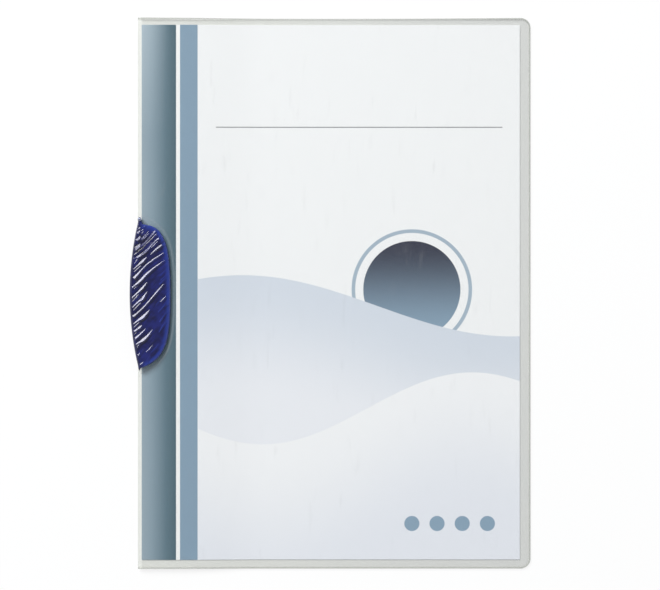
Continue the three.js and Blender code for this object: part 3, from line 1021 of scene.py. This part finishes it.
@dataclass
class Covers:
    """Front and back film, welded along the spine."""

    drape: Drape
    seat: Seat
    corner: float = 5.5 * MM
    film: float = 0.3 * MM
    weld: float = 1.0 * MM
    ramp: float = 1.0 * MM
    weld_gap: float = 0.01 * MM
    top_dip: float = 0.55 * MM
    dip_reach: float = 4.0 * MM
    bend_length: float = 12.0 * MM
    corner_segments: int = 10
    seat_column: float = 0.7 * MM
    seat_row: float = 1.1 * MM
    settle_column: float = 2.5 * MM
    front_step: float = 8.0 * MM
    back_step: float = 12.0 * MM

    def _cut_sheet(
        self, name: str, low: Vector, high: Vector, rows: list[float], columns: list[float]
    ) -> bpy.types.Object:
        """Cuts one cover to its outline and scores it into a net of faces.

        Args:
            name: The object's name.
            low: Lowest corner of the cover.
            high: Highest corner of the cover.
            rows: Y of the net's lines.
            columns: X of the net's lines.

        Returns:
            The flat cover.
        """
        deselect()
        bpy.ops.mesh.primitive_plane_add(size=1.0)
        piece = bpy.context.object
        span(piece, name, low, high)
        bpy.ops.object.mode_set(mode="EDIT")
        mesh = bmesh.from_edit_mesh(piece.data)
        for vertex in mesh.verts:
            vertex.select_set(vertex.co.x > (low.x + high.x) / 2)
        mesh.select_flush(True)
        bmesh.update_edit_mesh(piece.data)
        bpy.ops.mesh.bevel(offset=self.corner, segments=self.corner_segments, affect="VERTICES")
        for x in columns:
            bpy.ops.mesh.select_all(action="SELECT")
            bpy.ops.mesh.bisect(plane_co=(x, 0, 0), plane_no=(1, 0, 0))
        for y in rows:
            bpy.ops.mesh.select_all(action="SELECT")
            bpy.ops.mesh.bisect(plane_co=(0, y, 0), plane_no=(0, 1, 0))
        bpy.ops.object.mode_set(mode="OBJECT")
        return piece

    def _front_height(self, x: np.ndarray, y: np.ndarray, spine: float, level: float) -> np.ndarray:
        """Underside of the front cover over the table."""
        seat = self.seat.depth * (1.0 - self.drape.settled(x)) * (1.0 - self.seat.pressed(x, y))
        free = self.drape.height(x) + level + seat
        weld = self.drape.height(x) + self.film + self.weld_gap
        lifted = smoothstep((x - spine - self.weld) / self.ramp)
        return weld + (free - weld) * lifted

    def _dipped(self, places: np.ndarray, low: Vector, high: Vector) -> np.ndarray:
        """Draws the middle of the upper border a little inwards, as such films are cut."""
        along = (places[:, 0] - low.x) / (high.x - low.x)
        near_top = smoothstep((places[:, 1] - high.y) / self.dip_reach + 1.0)
        places[:, 1] -= self.top_dip * 4.0 * along * (1.0 - along) * near_top
        return places

    def front(self) -> bpy.types.Object:
        """Builds the clear front cover in one piece from the spine to the open side.

        Returns:
            The cover, in one piece from the spine strip to the open side, and attached to no body.
        """
        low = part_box("front_cover_spine_strip")[0]
        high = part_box("front_cover")[1]
        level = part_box("front_cover")[0].z
        wing = self.seat.wing
        beside_seat = wing.spine_x + wing.reach + self.seat.margin + self.seat.bevel
        columns = spread(low.x, beside_seat, self.seat_column)[1:]
        columns += spread(beside_seat, self.drape.end_x, self.settle_column)
        columns += spread(self.drape.end_x, high.x, self.front_step)
        reach = wing.length / 2 + 3 * self.seat.margin
        rows = spread(low.y, -reach, self.front_step)[1:] + spread(-reach, reach, self.seat_row)
        rows += spread(reach, high.y, self.front_step)
        piece = self._cut_sheet("front_film", low, high, rows, columns)

        def settle(places: np.ndarray) -> np.ndarray:
            """Lays the cover over what is under it."""
            x, y = places[:, 0], places[:, 1]
            places[:, 2] = self._front_height(x, y, low.x, level)
            return self._dipped(places, low, high)

        reshape(piece, settle)
        modify(piece, "SOLIDIFY", thickness=self.film, offset=1.0)
        shade(piece, Shading.BY_ANGLE)
        x, y, _ = places_of(piece).T
        # Share of the seat's bevel that gets the painted highlight in the film's haze.
        pressed = self.seat.pressed(x, y)
        store(piece, "bend", 4.0 * pressed * (1.0 - pressed))
        piece.data.materials.append(ClearFilm().material(high))
        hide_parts("front_cover_spine_strip", "front_cover")
        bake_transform(piece)
        log.info("front film: %d faces", len(piece.data.polygons))
        return piece

    def back(self) -> bpy.types.Object:
        """Builds the frosted back cover.

        Returns:
            The cover.
        """
        low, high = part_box("back_cover")
        columns = spread(low.x, self.drape.end_x, self.settle_column)[1:]
        columns += spread(self.drape.end_x, high.x, self.back_step)
        rows = spread(low.y, high.y, self.back_step)[1:]
        piece = self._cut_sheet("back_film", low, high, rows, columns)

        def settle(places: np.ndarray) -> np.ndarray:
            """Lays the cover over the clip's plate and down to the table."""
            places[:, 2] = self.drape.height(places[:, 0])
            return self._dipped(places, low, high)

        reshape(piece, settle)
        modify(piece, "SOLIDIFY", thickness=self.film, offset=1.0)
        shade(piece, Shading.BY_ANGLE)
        piece.data.materials.append(FrostedFilm().material(low, high))
        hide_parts("back_cover")
        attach(piece, Body.FOLDER.value)
        log.info("back film: %d faces", len(piece.data.polygons))
        return piece


@dataclass
class TitleSheet:
    """Printed card between the covers."""

    drape: Drape
    thickness: float = 0.25 * MM

    def build(self) -> bpy.types.Object:
        """Builds and prints the card.

        Returns:
            The card.
        """
        low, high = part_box("title_sheet")
        deselect()
        bpy.ops.mesh.primitive_grid_add(x_subdivisions=90, y_subdivisions=30, size=1.0)
        piece = bpy.context.object
        span(piece, "title_card", low, high)

        def settle(places: np.ndarray) -> np.ndarray:
            """Lays the card on the back cover."""
            places[:, 2] = self.drape.height(places[:, 0]) + low.z
            return places

        reshape(piece, settle)
        modify(piece, "SOLIDIFY", thickness=self.thickness, offset=1.0)
        shade(piece, Shading.BY_ANGLE)
        piece.data.materials.append(PrintedCard().material(low))
        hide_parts("title_sheet")
        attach(piece, Body.FOLDER.value)
        log.info("title card: %d faces", len(piece.data.polygons))
        return piece


@dataclass
class Clip:
    """Moulded clip: crumpled wing, wall and back plate in one."""

    wing: Wing
    voxel: float = 0.5 * MM
    top_cuts: int = 2
    rounding_passes: int = 2
    rim_start: float = 0.9 * MM
    rim_end: float = 1.7 * MM
    rim_loss: float = 0.45
    rim_loss_start: float = 22.0 * MM
    rim_loss_reach: float = 10.0 * MM
    merge: float = 0.001 * MM
    shell: float = 1.0 * MM
    neck_width: float = 1.7 * MM
    neck_soft: float = 0.6 * MM
    neck_reach: float = 9.0 * MM
    neck_drop: float = 2.1 * MM
    neck_start: float = 20.0 * MM
    neck_length: float = 16.0 * MM
    corner_fill: float = 0.4 * MM
    corner_reach: float = 4.0 * MM
    film_top: float = 2.2 * MM
    film_soft: float = 0.3 * MM
    tip_length: float = 1.5 * MM
    page_reach: float = 4.0 * MM
    tip_start: float = -40.0 * MM
    tip_reach: float = 2.4 * MM
    tip_width: float = 0.8 * MM
    tip_soft: float = 0.9 * MM
    # Where the painted shade at the lower tip starts, and how softly.
    dark_tip: float = -41.0 * MM
    dark_soft: float = 0.5 * MM
    # Reach of the painted highlight along the edge over the page, and how softly it fades.
    bright_rim: float = 3.3 * MM
    bright_soft: float = 2.6 * MM
    # Reach of the painted shade along the outer band over the spine, and how softly it fades.
    dark_band: float = 2.1 * MM
    band_soft: float = 0.8 * MM
    # Shares of the painted highlight on faint fold crests and of the painted shade along the outer band.
    crest_highlight_share: float = 0.7
    band_share: float = 0.7

    def _on_top(self, x: np.ndarray, y: np.ndarray, z: np.ndarray) -> np.ndarray:
        """True near the wing's top, inside its plan."""
        return (z > self.wing.roof(x, y) - self.shell) & (self.wing.inset(x, y) > self.rim_start / 3)

    def _refine_top(self, piece: bpy.types.Object) -> None:
        """Cuts up the faces of the wing's top."""
        mesh = piece.data
        centres = np.empty(len(mesh.polygons) * 3)
        mesh.polygons.foreach_get("center", centres)
        centres = centres.reshape(-1, 3)
        chosen = self._on_top(centres[:, 0], centres[:, 1], centres[:, 2])
        activate(piece)
        bpy.ops.object.mode_set(mode="EDIT")
        bpy.ops.mesh.select_all(action="DESELECT")
        bpy.ops.object.mode_set(mode="OBJECT")
        mesh.polygons.foreach_set("select", chosen)
        bpy.ops.object.mode_set(mode="EDIT")
        bpy.ops.mesh.select_mode(type="FACE")
        bpy.ops.mesh.subdivide(number_cuts=self.top_cuts)
        bpy.ops.mesh.select_mode(type="VERT")
        bpy.ops.object.mode_set(mode="OBJECT")

    def _crumple(self, places: np.ndarray) -> np.ndarray:
        """Sets the wing's top to its folds, and leaves its edge as it is."""
        x, y, z = places[:, 0], places[:, 1], places[:, 2]
        top = self._on_top(x, y, z)
        x, y, z = x[top], y[top], z[top]
        wider = 1.0 - self.rim_loss * smoothstep((y - self.rim_loss_start) / self.rim_loss_reach)
        inner = smoothstep((self.wing.inset(x, y) / wider - self.rim_start) / (self.rim_end - self.rim_start))
        target = self.wing.roof(x, y) + Crumple(self.wing).height(x, y)
        places[top, 2] = z + (target - z) * inner
        return places

    def _paint_light_and_shade(self, piece: bpy.types.Object) -> None:
        """Stores two shares for the material: painted highlight at the edge over the page and on faint fold
        crests, and painted shade behind folds, along the outer band and at the lower tip.
        """
        x, y, z = places_of(piece).T
        inset = self.wing.inset(x, y)
        over_page = smoothstep((x - self.wing.spine_x) / self.page_reach)
        # Painted highlight along the edge over the page.
        rim = smoothstep((self.bright_rim - inset) / self.bright_soft) * over_page
        # Painted shade along the outer band over the spine.
        band = smoothstep((self.dark_band - inset) / self.band_soft) * (1.0 - over_page)
        top = self._on_top(x, y, z)
        crumple = Crumple(self.wing)
        # Painted shade behind the folds on the wing's top.
        deep = np.zeros(x.shape)
        deep[top] = crumple.painted_fold_shade(x[top], y[top])
        # Painted shade at the lower tip.
        painted_tip_shade = smoothstep((self.dark_tip - y) / self.dark_soft) * (1.0 - over_page)
        deep = np.maximum(deep, painted_tip_shade)
        # Painted highlight on the crests of faint folds.
        rim[top] = np.maximum(rim[top], self.crest_highlight_share * crumple.streaks(x[top], y[top]))
        store(piece, "rim", rim)
        store(piece, "deep", np.maximum(deep, band * self.band_share))

    def _shape_ends(self, places: np.ndarray) -> np.ndarray:
        """Draws the wing's upper corner down, which leaves a neck, and its lower tip out."""
        x, y, z = places[:, 0] - self.wing.spine_x, places[:, 1], places[:, 2]
        beside = smoothstep((x - self.neck_width) / self.neck_soft)
        lower = self.neck_drop * (1.0 - smoothstep((x - self.neck_width) / self.neck_reach))
        fuller = self.corner_fill * smoothstep((x - self.neck_reach) / self.corner_reach)
        near_end = smoothstep((y - self.neck_start) / self.neck_length)
        above_film = smoothstep((z - self.film_top) / self.film_soft)
        tip = smoothstep((self.tip_start - y) / self.tip_reach)
        tip *= 1.0 - smoothstep((x - self.tip_width) / self.tip_soft)
        upper_move = (fuller - lower) * beside * near_end
        places[:, 1] = y + (upper_move - self.tip_length * tip) * above_film
        return places

    def build(self) -> bpy.types.Object:
        """Refines the clip's solid into a moulding with soft edges and sharp folds.

        Returns:
            The moulding.
        """
        source = frame["nodes"]["clip"]
        piece = bpy.data.objects.new("clip_moulding", source.data.copy())
        bpy.context.scene.collection.objects.link(piece)
        piece.data.materials.clear()
        activate(piece)
        bpy.ops.object.mode_set(mode="EDIT")
        bpy.ops.mesh.select_all(action="SELECT")
        bpy.ops.mesh.remove_doubles(threshold=self.merge)
        bpy.ops.object.mode_set(mode="OBJECT")
        modify(piece, "REMESH", mode="VOXEL", voxel_size=self.voxel, use_smooth_shade=True)
        modify(piece, "SMOOTH", factor=0.5, iterations=self.rounding_passes)
        self._refine_top(piece)
        reshape(piece, self._crumple)
        shade(piece, Shading.SMOOTH)
        self._paint_light_and_shade(piece)
        reshape(piece, self._shape_ends)
        piece.data.materials.append(ClipPlastic().material())
        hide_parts("clip")
        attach(piece, Body.CLIP.value)
        piece.data.calc_loop_triangles()
        faces, triangles = len(piece.data.polygons), len(piece.data.loop_triangles)
        log.info("clip moulding: %d faces, %d triangles", faces, triangles)
        return piece


@dataclass
class Studio:
    """Floor, soft light and the camera over the folder."""

    photo_scale_px_per_mm: float = 1.798
    view_x: float = -2.4 * MM
    view_y: float = -1.0 * MM
    lens_mm: float = 100.0
    sensor_mm: float = 36.0
    floor_size: float = 6.0
    floor_drop: float = 0.05 * MM
    floor_glow: float = 0.8
    fill_colour: tuple[float, float, float, float] = (0.95, 0.98, 1.0, 1.0)
    fill_strength: float = 0.43
    wall_top: tuple[float, float] = (0.6, 0.8)
    key_direction: tuple[float, float, float] = (-0.467, 0.642, 0.607)
    key_distance: float = 4.5
    key_size: tuple[float, float] = (2.7, 1.65)
    key_power: float = 232.0

    def floor(self) -> bpy.types.Object:
        """Pale floor under the folder."""
        deselect()
        bpy.ops.mesh.primitive_plane_add(size=self.floor_size, location=(0, 0, -self.floor_drop))
        piece = bpy.context.object
        piece.name = "floor"
        graph = Graph("floor", Base_Color=(0.93, 0.93, 0.93, 1), Roughness=0.9)
        glow = graph.node("ShaderNodeEmission", {}, {"Color": (1, 1, 1, 1), "Strength": 1.0})
        lit = Term(graph, graph.shader.outputs[0])
        mixed = graph.node("ShaderNodeMixShader", {}, {0: graph.sight() * self.floor_glow, 1: lit, 2: glow})
        graph.plug(graph.output.inputs["Surface"], mixed)
        piece.data.materials.append(graph.material)
        return piece

    def world(self) -> None:
        """Pale surroundings: walls that look white, and a dimmer ceiling."""
        graph = Surroundings("studio")
        dim = {"Color": self.fill_colour, "Strength": self.fill_strength}
        fill = graph.node("ShaderNodeBackground", {}, dim)
        white = graph.node("ShaderNodeBackground", {}, {"Color": (1, 1, 1, 1), "Strength": 1.0})
        where = graph.node("ShaderNodeTexCoord", output="Generated")
        up = graph.node("ShaderNodeSeparateXYZ", {}, {0: where}, output="Z")
        walls = up.ramp(*self.wall_top, 1.0, 0.0)
        mixed = graph.node("ShaderNodeMixShader", {}, {0: graph.sight() * walls, 1: fill, 2: white})
        graph.plug(graph.output.inputs["Surface"], mixed)

    def key(self) -> None:
        """Adds the one soft lamp, which faces the folder."""
        data = bpy.data.lights.new("key", "AREA")
        data.shape = "RECTANGLE"
        data.size, data.size_y = self.key_size
        data.energy = self.key_power
        lamp = bpy.data.objects.new("key", data)
        bpy.context.scene.collection.objects.link(lamp)
        away = Vector(self.key_direction).normalized()
        lamp.location = away * self.key_distance
        lamp.rotation_euler = away.to_track_quat("Z", "Y").to_euler()

    def camera(self) -> None:
        """Camera straight over the folder, framed as the photograph is."""
        data = bpy.data.cameras.new("camera")
        data.lens = self.lens_mm
        data.sensor_width = self.sensor_mm
        data.clip_start = 0.01
        camera = bpy.data.objects.new("camera", data)
        bpy.context.scene.collection.objects.link(camera)
        width = PHOTO_WIDTH_PX / self.photo_scale_px_per_mm * MM
        distance = width * self.lens_mm / self.sensor_mm
        camera.location = (self.view_x, self.view_y, distance)
        bpy.context.scene.camera = camera

    def build(self) -> None:
        """Sets up the whole studio."""
        self.floor()
        self.world()
        self.key()
        self.camera()
        bpy.context.scene.view_settings.view_transform = "Standard"


def dress_rivet() -> None:
    """Gives the rivet its metal."""
    node = frame["nodes"]["clip_rivet"]
    node.data.materials.clear()
    node.data.materials.append(RivetMetal().material())
    log.info("rivet: %d faces", len(node.data.polygons))


def main() -> None:
    """Builds the folder from the back cover up, then the studio round it."""
    logging.basicConfig(level=logging.INFO, format="%(name)s: %(message)s")
    bend = frame["joints"][0]["pos_m"][0]
    drape = Drape(bend_x=bend)
    wing = Wing(spine_x=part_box("back_cover")[0].x)
    covers = Covers(drape, Seat(wing))
    covers.back()
    TitleSheet(drape).build()
    covers.front()
    Clip(wing).build()
    dress_rivet()
    Studio().build()


if __name__ == "__main__":
    main()
